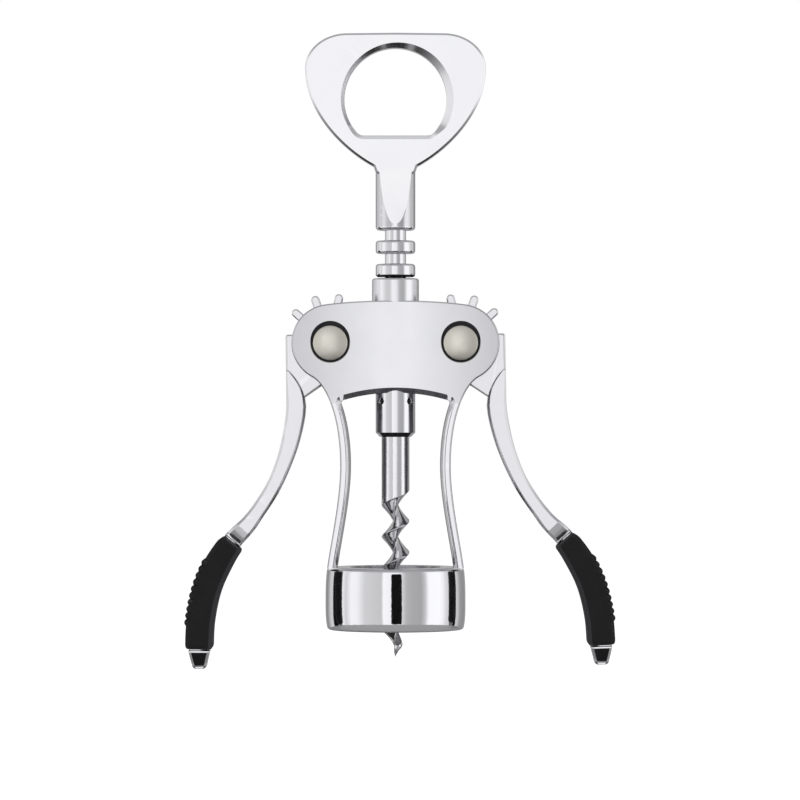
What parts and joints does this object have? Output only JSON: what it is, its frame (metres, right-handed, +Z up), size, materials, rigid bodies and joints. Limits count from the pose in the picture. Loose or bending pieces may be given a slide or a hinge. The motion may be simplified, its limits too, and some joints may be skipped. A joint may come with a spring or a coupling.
{
  "type": "winged corkscrew",
  "caption": "Winged corkscrew: geared levers drive a ring rack that pulls a worm through a bell, under a crown-cap opener handle.",
  "frame": {"origin": "centre of the bell's mouth on the worm's axis, in the plane of the rim, where a bottle's neck enters", "axes": "+Z up the worm's axis towards the opener head, +X towards the right lever, -Y towards the front face plate"},
  "size_m": [0.1206, 0.0392, 0.1779],
  "materials": {
    "cast_chrome": "bright chrome plating over a casting",
    "turned_chrome": "bright chrome plating over turned steel",
    "worm_steel": "polished, plated steel",
    "rivet_nickel": "satin nickel",
    "grip_rubber": "matt black soft plastic"
  },
  "bodies": {
    "frame": {"frame": "cast_chrome", "left_pivot_pin": "rivet_nickel", "left_pin_sleeve": "rivet_nickel", "right_pivot_pin": "rivet_nickel", "right_pin_sleeve": "rivet_nickel"},
    "spindle": {"rack_spindle": "turned_chrome"},
    "handle": {"opener_head": "cast_chrome", "worm": "worm_steel"},
    "left_wing": {"left_lever": "cast_chrome", "left_grip": "grip_rubber"},
    "right_wing": {"right_lever": "cast_chrome", "right_grip": "grip_rubber"}
  },
  "joints": [
    {"name": "spindle_slide", "type": "slide", "parent": "frame", "child": "spindle", "axis": [0, 0, 1], "range_m": [-0.0291, 0.0043]},
    {"name": "handle_turn", "type": "hinge", "parent": "spindle", "child": "handle", "pos_m": [0, 0, 0], "axis": [0, 0, 1], "continuous": true},
    {"name": "left_lever_swing", "type": "hinge", "parent": "frame", "child": "left_wing", "pos_m": [-0.0182, 0, 0.0802], "axis": [0, 1, 0], "range_deg": [-20, 134]},
    {"name": "right_lever_swing", "type": "hinge", "parent": "frame", "child": "right_wing", "pos_m": [0.0182, 0, 0.0802], "axis": [0, -1, 0], "range_deg": [-20, 134]}
  ],
  "couplings": [
    {"joint": "left_lever_swing", "follows": "spindle_slide", "rad_per_m": -80.307},
    {"joint": "right_lever_swing", "follows": "spindle_slide", "rad_per_m": -80.307}
  ]
}
